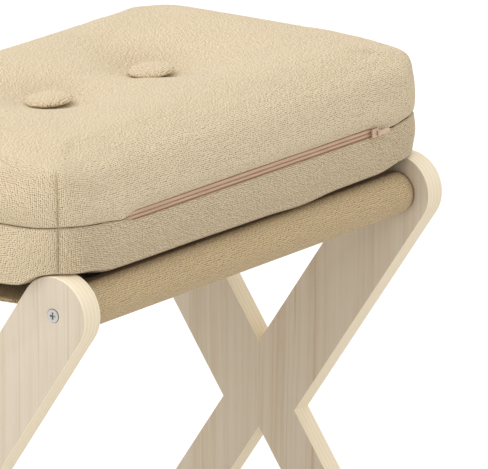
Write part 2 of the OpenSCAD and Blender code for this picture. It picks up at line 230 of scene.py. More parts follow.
class Value:
    """A shader socket on which Python's arithmetic adds Math nodes."""

    def __init__(self, shader, socket):
        self.shader, self.socket = shader, socket

    __add__ = __radd__ = arithmetic("ADD")
    __mul__ = __rmul__ = arithmetic("MULTIPLY")
    __sub__, __rsub__ = arithmetic("SUBTRACT"), arithmetic("SUBTRACT", swap=True)
    __truediv__, __rtruediv__ = arithmetic("DIVIDE"), arithmetic("DIVIDE", swap=True)
    __pow__, __rpow__ = arithmetic("POWER"), arithmetic("POWER", swap=True)
    __gt__, __lt__ = arithmetic("GREATER_THAN"), arithmetic("LESS_THAN")
    __abs__ = arithmetic("ABSOLUTE")
    sin = arithmetic("SINE")
    floor = arithmetic("FLOOR")
    fract = arithmetic("FRACT")
    most = arithmetic("MAXIMUM")

    def ramp(self, low, high, top=1.0):
        """From 0 at low to top at high, smoothly."""
        made = self.shader.node("MapRange", {"Value": self, "From Min": low, "From Max": high, "To Max": top},
                                interpolation_type="SMOOTHSTEP")
        return Value(self.shader, made.outputs["Result"])


class Shader:
    """The nodes of one material or world, and the ways to add to them."""

    def __init__(self, owner):
        owner.use_nodes = True
        self.tree = owner.node_tree
        self.tree.nodes.clear()

    def node(self, kind, inputs=None, **options):
        """A node of that kind, with its options set first and then its sockets' values or links."""
        made = self.tree.nodes.new("ShaderNode" + kind)
        for key, value in options.items():
            setattr(made, key, value)
        for key, value in (inputs or {}).items():
            socket = made.inputs[key]
            if isinstance(value, Value):
                value = value.socket
            if isinstance(value, bpy.types.NodeSocket):
                self.tree.links.new(value, socket)
            elif socket.type == "RGBA":
                socket.default_value = (*value[:3], 1.0)
            else:
                socket.default_value = value
        return made

    def math(self, operation, *parts):
        """The result of a Math node."""
        made = self.node("Math", dict(enumerate(parts)), operation=operation)
        return Value(self, made.outputs[0])

    def colour(self, share, low, high):
        """A colour from low at share 0 to high at share 1."""
        return self.node("Mix", {0: share, 6: low, 7: high}, data_type="RGBA").outputs[2]

    def vector(self, x, y, z=0.0):
        """Three numbers as a vector."""
        return self.node("CombineXYZ", {"X": x, "Y": y, "Z": z}).outputs[0]

    def split(self, socket):
        """A vector as three numbers."""
        return [Value(self, part) for part in self.node("SeparateXYZ", {0: socket}).outputs]

    def place(self, kind="Object"):
        """The surface's place in its piece's own axes, or another kind of texture coordinate."""
        return self.split(self.node("TexCoord").outputs[kind])

    def noise(self, x, y, z=0.0, detail=2.0, rough=0.5):
        """Soft noise, with one blot to each unit."""
        made = self.node("TexNoise", {
            "Vector": self.vector(x, y, z), "Scale": 1.0, "Detail": detail, "Roughness": rough})
        return Value(self, made.outputs[0])

    def cell(self, x, y):
        """A number of its own, from 0 to 1, for each whole pair of numbers."""
        made = self.node("TexWhiteNoise", {"Vector": self.vector(x, y)}, noise_dimensions="2D")
        return Value(self, made.outputs["Value"])

    def finish(self, colour, roughness, relief, depth, strength, **gloss):
        """Ends the material in a Principled shader whose surface is raised by the relief times the depth."""
        bump = self.node("Bump", {"Height": relief, "Distance": depth, "Strength": strength})
        shader = self.node("BsdfPrincipled", {
            "Base Color": colour, "Roughness": roughness, "Normal": bump.outputs[0],
            **{key.replace("_", " "): value for key, value in gloss.items()}})
        self.node("OutputMaterial", {"Surface": shader.outputs[0]})


def linen(s, lit, dark, pitch):
    """Plain weave of uneven threads, with painted shade in the small pits between them and a painted highlight
    on each thread's crown, on the piece's cloth coordinates.
    """
    u, v = s.split(s.node("UVMap", uv_map="weave").outputs[0])[:2]
    waver, jitter = 55, 380
    across = u / pitch + (s.noise(u * waver, v * waver) - 0.5) * 1.5
    across = across + (s.noise(u * jitter, v * jitter) - 0.5) * 1.1
    along = v / pitch + (s.noise(u * waver + 9, v * waver) - 0.5) * 1.5
    along = along + (s.noise(u * jitter, v * jitter + 5) - 0.5) * 1.1
    warp, weft = (across * PI).sin(), (along * PI).sin()
    over = (warp * weft) > 0
    warp, weft = abs(warp), abs(weft)
    height = over * (warp * (weft * 0.5 + 0.5)) + (1 - over) * (weft * (warp * 0.5 + 0.5))
    depth = s.cell((across + 0.5).floor(), (along + 0.5).floor())
    pit = ((1 - warp) * (1 - weft)).ramp(0.06, 0.6) * (depth ** 2 * 2.9 + 0.2)
    thread = s.cell(across.floor(), along.floor()) - 0.5
    slub = over * s.noise(across * 0.9, along * 0.12, detail=3, rough=0.6)
    slub = slub + (1 - over) * s.noise(across * 0.12 + 31, along * 0.9, detail=3, rough=0.6) - 0.5
    cloud = s.noise(u * 22, v * 22, 7.0, detail=3) - 0.5
    # The seam attribute brings the dark seam lines and the painted light and shade that each mesh carries
    seam = Value(s, s.node("Attribute", attribute_name="seam").outputs["Fac"])
    # Painted highlight on the threads' crowns and painted shade in the pits; the rest of the tone is the
    # threads' own uneven colour
    tone = height * 0.16 + thread * 0.24 + slub * 0.34 + cloud * 0.1 - pit - seam * 0.35 + 0.74
    relief = height * 0.6 + slub * 0.5 - pit * 0.7 - seam * 0.5
    s.finish(s.colour(tone.ramp(0, 1), dark, lit), 0.86 + cloud * 0.12, relief, 0.3 * MM, 0.6,
             Sheen_Weight=0.2, Sheen_Roughness=0.45, Sheen_Tint=srgb(255, 246, 228), Specular_IOR_Level=0.2)


def birch(s, wood):
    """Birch plywood: vertical grain on the faces, stacked plies on the edges."""
    x, y, z = s.place()
    side = y * 40
    across = x + (s.noise(x * 5, side, z * 4) - 0.5) * 0.012
    streak = s.noise(across * 150, side, z * 1.6, detail=3, rough=0.6)
    wide = s.noise(across * 34, side + 5, z * 1.2)
    fine = s.noise(across * 520, side, z * 9, detail=3, rough=0.65)
    pore = s.noise(across * 1100, side, z * 34).ramp(0.6, 0.74)
    blush = s.noise(across * 60, side + 9, z * 2.2).ramp(0.5, 0.72)
    line = s.noise(across * 310, side + 3, z * 1.1).ramp(0.56, 0.74)
    grain = streak.ramp(0.44, 0.7) * 0.3 + (wide - 0.5) * 0.35 + (fine - 0.5) * 0.7 + pore * 0.2 + line * 0.45
    face = s.colour(grain.ramp(-0.25, 1.15), wood.veneer, wood.streak)
    face = s.colour(blush * 0.2, face, wood.blush)
    layer = (abs(y) - INNER_Y) * (wood.layers / PANEL_T)
    index = layer.floor()
    odd = (index * 0.5).fract() > 0.25
    glue = abs(layer.fract() - 0.5).ramp(0.36, 0.5)
    along = s.noise(x * 60, index * 7.3, z * 60, detail=3)
    tone = odd * 0.36 + glue * 0.3 + (along - 0.5) * 0.4
    edge = s.colour(tone.ramp(0, 1.1), wood.ply, wood.ply_dark)
    flat = abs(s.place("Normal")[1]).ramp(0.75, 0.9)
    relief = flat * (fine * 0.35 - pore * 0.5) + (1 - flat) * (glue * -0.5 + along * 0.4 + odd * 0.2)
    rough = 0.46 + (fine - 0.5) * 0.16 + (1 - flat) * 0.14
    s.finish(s.colour(flat, edge, face), rough, relief, 0.12 * MM, 0.5, Specular_IOR_Level=0.35,
             Coat_Weight=0.05, Coat_Roughness=0.35)


def dowel(s):
    """Oiled beech with its grain along the rail."""
    x, y, z = s.place()
    streak = s.noise(x * 90, y * 2.5, z * 90, detail=4, rough=0.6)
    ray = s.noise(x * 500, y * 60, z * 500).ramp(0.6, 0.72)
    colour = s.colour(streak.ramp(0.3, 0.75) * 0.7 + ray * 0.3, srgb(150, 118, 80), srgb(112, 82, 52))
    s.finish(colour, 0.5 + (streak - 0.5) * 0.2, streak - ray * 0.5, 0.1 * MM, 0.4, Specular_IOR_Level=0.35)


def tape(s):
    """Woven zip tape with fine ribs along it, darker at its fold over the coil, with painted shade under the
    cover's edges.
    """
    _, y, z = s.place()
    rib = (z * (2 * PI / (0.55 * MM))).sin() * 0.5 + 0.5
    tick = (y * (2 * PI / (0.9 * MM))).sin() * 0.5 + 0.5
    cloud = s.noise(y * 60, z * 900, detail=3)
    fold = 1 - abs(z - ZIP_Z).ramp(0.5 * MM, 1.1 * MM)
    # Painted shade where the cover's lips overhang the tape
    painted_lip_shade = abs(z - ZIP_Z - 0.15 * MM).ramp(2.2 * MM, 2.8 * MM)
    tone = rib * 0.3 + tick * 0.2 + cloud * 0.5 + 0.12 - fold * 0.2 - painted_lip_shade * 1.1
    s.finish(s.colour(tone.ramp(0, 0.9), srgb(150, 114, 90), srgb(222, 192, 164)), 0.78 + (cloud - 0.5) * 0.1,
             rib + tick * 0.5, 0.08 * MM, 0.6, Specular_IOR_Level=0.25)


def twine(s):
    """Waxed upholstery twine."""
    x, y, z = s.place()
    strand = (z * 3800 + x * 2600 + y * 2600).sin() * 0.5 + 0.5
    colour = s.colour(strand, srgb(186, 168, 132), srgb(230, 218, 190))
    s.finish(colour, 0.7 + strand * 0.1, strand, 0.2 * MM, 0.7)


def speckled(s, size, grit, stops, plain, specks, roughness, relief, detail=3, **gloss):
    """One colour with specks of another, by fine noise that also sets the roughness and the relief."""
    grain = s.noise(*(part * scale for part, scale in zip(s.place(), size)), detail=detail, rough=grit)
    colour = s.colour(grain.ramp(*stops), plain, specks)
    level, swing = roughness
    s.finish(colour, level + (grain - 0.5) * swing, grain, *relief, **gloss)


def foam(s):
    """Open-cell foam."""
    speckled(s, (900, 900, 900), 0.7, (0.3, 0.7), srgb(214, 200, 166), srgb(240, 232, 208), (0.95, -0.1),
             (0.5 * MM, 0.7))


def enamel(s, *levels):
    """Enamelled cast zinc or dyed nylon, a little worn."""
    speckled(s, (1500, 1500, 1500), 0.5, (0.5, 0.8, 0.5), srgb(*levels), srgb(232, 216, 200), (0.34, 0.2),
             (0.03 * MM, 0.3), Coat_Weight=0.3, Coat_Roughness=0.2)


def zinc(s):
    """Zinc-plated screw steel with fine scratches."""
    speckled(s, (2600, 500, 2600), 0.7, (0.3, 0.8), srgb(158, 158, 156), srgb(214, 214, 211), (0.3, 0.25),
             (0.02 * MM, 0.3), Metallic=1.0)


def nylon(s):
    """Off-white nylon, scuffed."""
    speckled(s, (700, 700, 200), 0.65, (0.5, 0.8), srgb(232, 228, 220), srgb(198, 192, 180), (0.5, 0.3),
             (0.05 * MM, 0.4), detail=4)


def shared(name, make, *details):
    """The material of that name, made once."""
    material = bpy.data.materials.get(name)
    if material is None:
        material = bpy.data.materials.new(name)
        make(Shader(material), *details)
    return material


def cover_linen():
    """The cushion's and the buttons' linen."""
    cloth = settings("cloth")
    return shared("slub_linen", linen, cloth.cover, cloth.cover_dark, cloth.pitch)


# Meshes


def new_object(name, data):
    """An object in the scene that shows this data."""
    made = bpy.data.objects.new(name, data)
    bpy.context.scene.collection.objects.link(made)
    return made


def add_piece(mesh, material, body, node, sharp=None):
    """A piece of the mesh's name that rides on a body, takes a finish and stands for a CAD node."""
    piece = new_object(mesh.name, mesh)
    mesh.materials.append(material)
    mesh.shade_smooth()
    if sharp is not None:
        mesh.set_sharp_from_angle(angle=sharp)
    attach(piece, body)
    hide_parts(node)
    return piece


def mesh_of(name, points, faces, uvs=None):
    """A mesh from points and faces, with its cloth coordinates per face corner."""
    mesh = bpy.data.meshes.new(name)
    mesh.from_pydata([tuple(map(float, p)) for p in points], [], [tuple(map(int, f)) for f in faces])
    if uvs is not None:
        layer = mesh.uv_layers.new(name="weave")
        layer.data.foreach_set("uv", np.array(uvs, np.float32).ravel())
    mesh.validate()
    return mesh


def round_quads(rows, count, first=0):
    """Quads between rows of points that each run round and close."""
    quads = []
    for j in range(rows):
        for k in range(count):
            a, b = first + j * count + k, first + j * count + (k + 1) % count
            quads.append((a, b, b + count, a + count))
    return quads


def finish_node(name, material, edge=None):
    """Gives a CAD node its material and, where wanted, eased edges."""
    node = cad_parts[name]
    node.data.materials.clear()
    node.data.materials.append(material)
    if edge:
        ease = node.modifiers.new("ease", "BEVEL")
        ease.width, ease.segments, ease.limit_method = edge, 2, "ANGLE"
        ease.angle_limit = math.radians(40)


def evaluated_mesh(piece):
    """A new mesh of what the object shows."""
    graph = bpy.context.evaluated_depsgraph_get()
    return bpy.data.meshes.new_from_object(piece.evaluated_get(graph), preserve_all_data_layers=True,
                                           depsgraph=graph)


def apply_modifiers(piece):
    """Leaves the evaluated mesh on the piece, with no modifier."""
    made, old = evaluated_mesh(piece), piece.data
    piece.modifiers.clear()
    piece.data = made
    bpy.data.meshes.remove(old)


def subdivide(piece):
    """Rounds off the piece's facets."""
    smooth = piece.modifiers.new("smooth", "SUBSURF")
    smooth.levels = smooth.render_levels = 1
    apply_modifiers(piece)


def darken(mesh, marks):
    """Keeps how much the cloth is darkened at each point, seam lines and painted light and shade alike, for
    its shader.
    """
    mesh.attributes.new("seam", "FLOAT", "POINT").data.foreach_set("value", marks.astype(np.float32))


# Wood


def panel_outline(wood):
    """The X's outline in the panel's plane: straight arms and legs, full rounds at the arms' ends."""
    t, c, s = math.tan(wood.lean), math.cos(wood.lean), math.sin(wood.lean)
    rise = RAIL_X / t
    crossing = AXIS_Z - rise
    drop = crossing - FOOT_Z
    notch_top, notch_side, notch_low = ARM_R / s, ARM_R / c, (wood.leg_w - ARM_R) / s
    steps = 48
    half = [(0, notch_top)]
    for k in range(steps + 1):
        turn = PI - wood.lean - k * PI / steps
        half.append((RAIL_X + ARM_R * math.cos(turn), rise + ARM_R * math.sin(turn)))
    half += [(notch_side, 0), (notch_side + drop * t, -drop)]
    half += [((drop - notch_low) * t, -drop), (0, -notch_low)]
    other = [(-x, z) for x, z in reversed(half[1:-1])]
    return [(x, z + crossing) for x, z in half + other]


def panel_mesh(name, wood, side):
    """A panel with eased edges and straight holes as wide as the screws' heads, cut from one sheet."""
    curve = bpy.data.curves.new(name, "CURVE")
    curve.dimensions, curve.fill_mode = "2D", "BOTH"
    curve.extrude = PANEL_T / 2 - wood.edge
    curve.bevel_depth, curve.bevel_resolution = wood.edge, 3
    curve.offset = -wood.edge
    hole_r, count = HEAD_R + HOLE_ROOM, 32
    turns = [2 * PI * k / count for k in range(count)]
    ring = [(math.cos(turn) * hole_r, math.sin(turn) * hole_r) for turn in turns]
    for loop in [panel_outline(wood)] + [[(s * RAIL_X + x, AXIS_Z + z) for x, z in ring] for s in (-1, 1)]:
        spline = curve.splines.new("POLY")
        spline.points.add(len(loop) - 1)
        for point, (x, z) in zip(spline.points, loop):
            point.co = (x, z, 0, 1)
        spline.use_cyclic_u = True
    holder = new_object(name + "_curve", curve)
    mesh = evaluated_mesh(holder)
    bpy.data.objects.remove(holder)
    bpy.data.curves.remove(curve)
    middle = side * (INNER_Y + PANEL_T / 2)
    mesh.transform(Matrix.Translation((0, middle, 0)) @ Matrix.Rotation(PI / 2, 4, "X"))
    work = bmesh.new()
    work.from_mesh(mesh)
    bmesh.ops.remove_doubles(work, verts=work.verts, dist=0.01 * MM)
    bmesh.ops.recalc_face_normals(work, faces=work.faces)
    work.to_mesh(mesh)
    work.free()
    mesh.name = name
    return mesh


class FOOTREST_OT_panels(bpy.types.Operator):
    """Cuts the two plywood X panels"""
    bl_idname = "footrest.panels"
    bl_label = "X panels"

    def execute(self, context):
        wood = settings("wood")
        material = shared("birch_ply", birch, wood)
        for name, side in (("front", -1), ("rear", 1)):
            mesh = panel_mesh(name + "_x_panel", wood, side)
            add_piece(mesh, material, "frame", name + "_panel", sharp=math.radians(35))
        return {"FINISHED"}


class FOOTREST_OT_rails(bpy.types.Operator):
    """Finishes the two beech rails"""
    bl_idname = "footrest.rails"
    bl_label = "Rails"

    def execute(self, context):
        for name in ("left_rail", "right_rail"):
            finish_node(name, shared("beech_dowel", dowel))
        return {"FINISHED"}


class FOOTREST_OT_hardware(bpy.types.Operator):
    """Finishes the screws and the glides"""
    bl_idname = "footrest.hardware"
    bl_label = "Screws and glides"

    def execute(self, context):
        for end in ("front", "rear"):
            finish_node(end + "_screws", shared("zinc_steel", zinc), 0.12 * MM)
            finish_node(end + "_glides", shared("scuffed_nylon", nylon))
        return {"FINISHED"}


# Sling


def sheet_z(x):
    """Height of the middle between the sling's two layers, which sag between the rails."""
    return AXIS_Z - SLING_SAG * (1 - (x / RAIL_X) ** 2)


def sling_section():
    """Centreline of the cloth's loop: upper layer, round the right rail, lower layer, round the left rail."""
    sleeve_r = SLEEVE_R - SLING_T / 2
    seam_x = RAIL_X - sleeve_r - 5 * MM
    apart = SLING_T * 0.56
    steps, turns = 44, 40
    sheet = [seam_x * (2 * k / steps - 1) for k in range(steps + 1)]
    start = PI - math.acos(sleeve_r / (RAIL_X - seam_x))
    bend = [start - 2 * start * k / turns for k in range(turns + 1)]
    sleeve = [(RAIL_X + sleeve_r * math.cos(a), AXIS_Z + sleeve_r * math.sin(a)) for a in bend]
    path = [(x, sheet_z(x) + apart) for x in sheet] + sleeve
    path += [(x, sheet_z(x) - apart) for x in reversed(sheet)] + [(-x, z) for x, z in reversed(sleeve)]
    return path, seam_x


class FOOTREST_OT_sling(bpy.types.Operator):
    """Sews the cloth sling round the two rails"""
    bl_idname = "footrest.sling"
    bl_label = "Seat sling"

    def execute(self, context):
        path, seam_x = sling_section()
        way = [0.0]
        for a, b in zip(path, path[1:] + path[:1]):
            way.append(way[-1] + math.dist(a, b))
        rows, hem, hem_drawn = 72, 3 * MM, 0.5 * MM
        ys = [SLING_Y * (2 * j / rows - 1) for j in range(rows + 1)]
        points = []
        for y in ys:
            end = max(0.0, 1 - (SLING_Y - abs(y)) / hem)
            for x, z in path:
                out = Vector((x - math.copysign(RAIL_X, x), z - AXIS_Z)).normalized()
                move = out * (hem_drawn * end ** 2 if abs(x) > seam_x else 0)
                points.append((x - move.x, y, z - move.y))
        uvs = [(way[k + a], ys[j + b]) for j in range(rows) for k in range(len(path))
               for a, b in ((0, 0), (1, 0), (1, 1), (0, 1))]
        mesh = mesh_of("sling_cloth", points, round_quads(rows, len(path)), uvs)
        cloth = settings("cloth")
        material = shared("shaded_linen", linen, cloth.sling, cloth.sling_dark, cloth.pitch)
        piece = add_piece(mesh, material, "frame", "seat_sling")
        thick = piece.modifiers.new("thick", "SOLIDIFY")
        thick.thickness, thick.offset = SLING_SHOWN_T, 0
        apply_modifiers(piece)
        # Painted shade along the top of each roll, where it lies under the cushion's edge, darkest near the
        # roll's top
        x, z = np.array([(v.co.x, v.co.z) for v in piece.data.vertices]).T
        out = np.abs(x) - RAIL_X
        marks = 1.9 * fade(out, 0.5 * MM, 4 * MM) + 0.7 * fade(out, 0, 10 * MM)
        darken(piece.data, np.where(z > AXIS_Z, marks * smooth_step(out, -10 * MM, -4 * MM), 0))
        return {"FINISHED"}


# Cushion


def smooth_step(value, low, high):
    """From 0 at low to 1 at high, smoothly."""
    t = np.clip((value - low) / (high - low), 0, 1)
    return t * t * (3 - 2 * t)


def fade(value, low, high):
    """From 1 at low to 0 at high, smoothly."""
    return 1 - smooth_step(value, low, high)


def bell(value, width):
    """1 at 0, falling to both sides."""
    return np.exp(-(value / width) ** 2)


def tuft_fade(x, y, flat, reach):
    """1 at the tufts, falling smoothly to 0 away from them."""
    far, near = np.hypot(x, y - TUFT_Y), np.hypot(x, y + TUFT_Y)
    return 1 - smooth_step(far, flat, reach) * smooth_step(near, flat, reach)


def round_top(x, radius):
    """Height above the rails' axes of a round of that radius about the nearer axis; 0 beside it."""
    return np.sqrt(np.maximum(radius ** 2 - (np.abs(x) - RAIL_X) ** 2, 0))


def crown_z(x, y, c):
    """Height of the cushion's top."""
    z = AXIS_Z + c.edge_rise + c.crown_across * (1 - np.minimum(1, np.abs(x) / HALF_W) ** 3)
    z = z + c.crown_mid + c.crown_ends * (y / HALF_L) ** 4
    z = z - c.corner_drop * smooth_step(np.abs(x), *CORNER_X) * smooth_step(np.abs(y), *CORNER_Y)
    y = y - c.button_shift
    bowl = 0.62 * tuft_fade(x, y, 15 * MM, c.dimple_reach) + 0.38 * tuft_fade(x, y, 14 * MM, 42 * MM)
    return z - (c.dimple_depth + c.dimple_lean * np.sign(y)) * bowl


def belly_z(x, y, c):
    """Height of its underside, which sags between the rails and drapes over the arms' ends."""
    ax, ay = np.abs(x), np.abs(y)
    low = AXIS_Z - SLING_SAG + SLING_T + REST_GAP
    touch = math.radians(20.6)  # how far round from a sleeve's top the cushion leaves it
    touch_x = RAIL_X - SLEEVE_R * math.sin(touch)
    rise = AXIS_Z + SLEEVE_R * math.cos(touch) + REST_GAP - low
    rest = low + rise * (ax / touch_x) ** 2.4
    turned = np.where(x < 0, -y, y)
    hang = 0.45 * bell(turned - 10 * MM, 75 * MM) + 0.6 * bell(turned - 64 * MM, 26 * MM)
    rest = rest - c.slump * hang * smooth_step(ax, 119 * MM, 133 * MM)
    end = AXIS_Z + c.end_height + c.end_rise * np.minimum(ax / (108 * MM), 1) ** 2
    rest = rest + (ay / HALF_L) ** 3 * np.maximum(end - rest, 0)
    arm = np.where(np.abs(ax - RAIL_X) < ARM_R, AXIS_Z + round_top(x, ARM_R + 0.8 * MM), 0)
    over = 0.5 * (rest + arm + np.sqrt((rest - arm) ** 2 + (3 * MM) ** 2))
    z = rest + smooth_step(ay, *OVER_ARMS) * (over - rest)
    return z + c.back_dimple * tuft_fade(x, y, 15 * MM, 58 * MM)


def support_z(x, y):
    """Top of whatever carries the cushion: sling, sleeves or arm ends."""
    sling = np.maximum(sheet_z(x) + SLING_TOP, AXIS_Z + round_top(x, SLEEVE_R))
    base = np.where(np.abs(y) < SLING_Y, sling, 0)
    over_arm = (np.abs(y) > INNER_Y - 4 * MM) & (np.abs(y) < OUTER_Y + 4 * MM) & (round_top(x, ARM_R) > 0)
    return np.where(over_arm, np.maximum(base, AXIS_Z + round_top(x, ARM_R)), base)


def waist_height(x, y, c):
    """Height of the waist seam: about level along the zip, and up to its corners, more so at the near end."""
    corner = 0.45 + 0.55 * np.minimum(np.abs(x) / (128 * MM), 1) ** 2
    near = np.clip((-y - 150 * MM) / (55 * MM), 0, 1)
    far = 0.75 * np.clip((y - 176 * MM) / (36 * MM), 0, 1)
    dip = c.waist_dip * bell(y - 171 * MM, 11 * MM) * (x > 0)
    return AXIS_Z + c.waist_rise + c.waist_lift * corner * (near + far) - dip


def waist_gap(x, y, c):
    """Half height of the gap at the waist: open along the zip, closed elsewhere."""
    along = np.minimum(smooth_step(y, *NEAR_MOUTH), fade(y, *FAR_MOUTH))
    return np.where(x > HALF_W - 8 * MM, along * c.slot_half, 0) + SEWN_GAP


def side_stops(half, step):
    """Places along one side from seam to seam, closer together near the seams."""
    near = [0.0, 0.8 * MM, 2.2 * MM, 4.8 * MM, 9 * MM]
    inner = half - 14.5 * MM
    count = max(2, round(2 * inner / step))
    middle = [inner * (2 * k / count - 1) for k in range(count + 1)]
    return [-half + n for n in near] + middle + [half - n for n in reversed(near)]


class Outline:
    """The cushion's outline from above, as four sides that meet at the corners' dart seams."""

    def __init__(self, c):
        self.radius = c.corner_radius
        bend = self.radius * PI / 4
        long_flat, short_flat = HALF_L - self.radius, HALF_W - self.radius
        self.long_stops = side_stops(long_flat + bend, c.step)
        self.short_stops = side_stops(short_flat + bend, c.step)
        sides = ((self.long_stops, long_flat, HALF_W), (self.short_stops, short_flat, HALF_L)) * 2
        self.columns = np.array([self.column(turn, t, flat, out, stops[-1])
                                 for turn, (stops, flat, out) in enumerate(sides) for t in stops[:-1]])

    def column(self, turn, t, flat, out, half):
        """Point, outward normal, side, place along it and distance to its nearest dart seam."""
        bend = max(0.0, abs(t) - flat) / self.radius
        side = math.copysign(1, t)
        x = out - self.radius + self.radius * math.cos(bend)
        y = side * (min(abs(t), flat) + self.radius * math.sin(bend))
        nx, ny = math.cos(bend), side * math.sin(bend)
        for _ in range(turn):
            x, y, nx, ny = -y, x, -ny, nx
        return x, y, nx, ny, turn, t, half - abs(t)


def profile(col, side, c):
    """Rows from the rim of the crown down to the waist at one column: how far in and how high each is."""
    x, y, nx, ny, _, _, to_seam = col
    corner = math.exp(-(to_seam / (34 * MM)) ** 1.3)
    surface, mid, tight, taper = ((crown_z, c.top_round, c.corner_round, c.lean) if side > 0 else
                                  (belly_z, c.under_round, c.under_round * 0.8, c.taper))
    radius = mid + (tight - mid) * corner
    rows, steps = [], 7
    for k in range(steps + 1):
        turn = PI / 2 * (1 - k / steps)
        inset = radius * (1 - math.cos(turn)) + taper
        z = float(surface(x - nx * inset, y - ny * inset, c))
        rows.append((inset, z - side * radius * (1 - math.sin(turn))))
    top = rows[-1][1]
    waist = float(waist_height(x, y, c) + side * waist_gap(x, y, c))
    kept_out = 0.85 * bell(abs(y) - STOP_Y, 5 * MM) if nx > 0.5 else 0
    for share in (0.2, 0.42, 0.62, 0.79, 0.9, 0.96, 1.0):
        left = abs(top - waist) * (1 - share)
        pull = c.seam_depth * math.exp(-left / (2.6 * MM)) + 1.2 * MM * math.exp(-left / (14 * MM))
        swell = c.bulge * (1 - 0.3 * corner) * math.sin(PI * share)
        rows.append((pull * (1 - kept_out) - swell + taper * (1 - share), top + (waist - top) * share))
    return rows


def rim_places(nx, ny):
    """Places round a grid's rim: right side, far end, left side, near end."""
    places = [(nx, j) for j in range(ny)] + [(nx - i, ny) for i in range(nx)]
    places += [(0, ny - j) for j in range(ny)] + [(i, 0) for i in range(nx)]
    return tuple(np.array(places).T)


def coons(ring, rim, nx, ny):
    """A grid of points that spans the inside of a ring."""
    grid = np.zeros((nx + 1, ny + 1, 3))
    grid[rim] = ring
    a = np.abs(grid[:, 0, 0] - grid[0, 0, 0]) / np.abs(grid[nx, 0, 0] - grid[0, 0, 0])
    b = np.abs(grid[0, :, 1] - grid[0, 0, 1]) / np.abs(grid[0, ny, 1] - grid[0, 0, 1])
    a, b = a[1:-1, None, None], b[None, 1:-1, None]
    left, right, near, far = grid[:1, 1:-1], grid[-1:, 1:-1], grid[1:-1, :1], grid[1:-1, -1:]
    grid[1:-1, 1:-1] = ((1 - a) * left + a * right + (1 - b) * near + b * far
                        - (1 - a) * (1 - b) * grid[0, 0] - a * (1 - b) * grid[nx, 0]
                        - (1 - a) * b * grid[0, ny] - a * b * grid[nx, ny])
    return grid


class Half:
    """One half of the cover as a box of quads: a grid over the crown and a band of rows down to the waist."""

    def __init__(self, side, outline, c):
        self.side, self.c, self.outline = side, c, outline
        rows = np.array([profile(col, side, c) for col in outline.columns])
        self.ring_size, self.rows = rows.shape[:2]
        inset, z = rows.transpose(2, 1, 0)
        x, y, out_x, out_y = outline.columns.T[:4]
        self.band = np.stack([x - out_x * inset, y - out_y * inset, z], axis=2)
        nx, ny = len(outline.short_stops) - 1, len(outline.long_stops) - 1
        rim = rim_places(nx, ny)
        self.grid = coons(self.band[0], rim, nx, ny)
        inner = self.grid[1:-1, 1:-1]
        inner[..., 2] = (crown_z if side > 0 else belly_z)(inner[..., 0], inner[..., 1], c)
        self.grid_index = np.arange((nx + 1) * (ny + 1)).reshape(nx + 1, ny + 1)
        below = self.grid_index.size + np.arange((self.rows - 1) * self.ring_size)
        self.band_index = np.vstack([self.grid_index[rim], below.reshape(-1, self.ring_size)])
        self.points = np.concatenate([self.grid.reshape(-1, 3), self.band[1:].reshape(-1, 3)])

    def faces(self):
        """Quads, wound outwards, with each corner's cloth coordinates."""
        quads, cloth = [], []
        for i in range(len(self.grid) - 1):
            for j in range(len(self.grid[0]) - 1):
                corners = ((i, j), (i + 1, j), (i + 1, j + 1), (i, j + 1))
                quads.append(tuple(self.grid_index[corner] for corner in corners))
                cloth.append([tuple(self.grid[corner][:2]) for corner in corners])
        steps = np.linalg.norm(np.diff(self.band, axis=0), axis=2)
        way = np.vstack([np.zeros(self.ring_size), np.cumsum(steps, axis=0)])
        columns = self.outline.columns
        for k in range(self.ring_size):
            after = (k + 1) % self.ring_size
            turn, t, to_seam = int(columns[k, 4]), columns[k, 5], columns[k, 6]
            t_after = columns[after, 5] if columns[after, 4] == turn else t + to_seam
            for m in range(self.rows - 1):
                corners = ((m, k, t), (m + 1, k, t), (m + 1, after, t_after), (m, after, t_after))
                quads.append(tuple(self.band_index[row, n] for row, n, _ in corners))
                cloth.append([self.flap(turn, at, way[row, n], self.band[0, n]) for row, n, at in corners])
        if self.side < 0:
            quads, cloth = [quad[::-1] for quad in quads], [uv[::-1] for uv in cloth]
        return quads, cloth

    def flap(self, turn, t, drop, rim):
        """Cloth coordinates on a side flap, which runs straight on from the crown at the rim's point."""
        x, y = (rim[0], rim[1], -rim[0], -rim[1])[turn] + drop, t
        for _ in range(turn):
            x, y = -y, x
        return x, y


def vertex_normals(points, faces):
    """Unit normals of a quad mesh's points."""
    faces = np.array(faces)
    p = points[faces]
    flat = np.cross(p[:, 2] - p[:, 0], p[:, 3] - p[:, 1])
    normals = np.zeros_like(points)
    for k in range(4):
        np.add.at(normals, faces[:, k], flat)
    return normals / np.maximum(np.linalg.norm(normals, axis=1, keepdims=True), 1e-12)


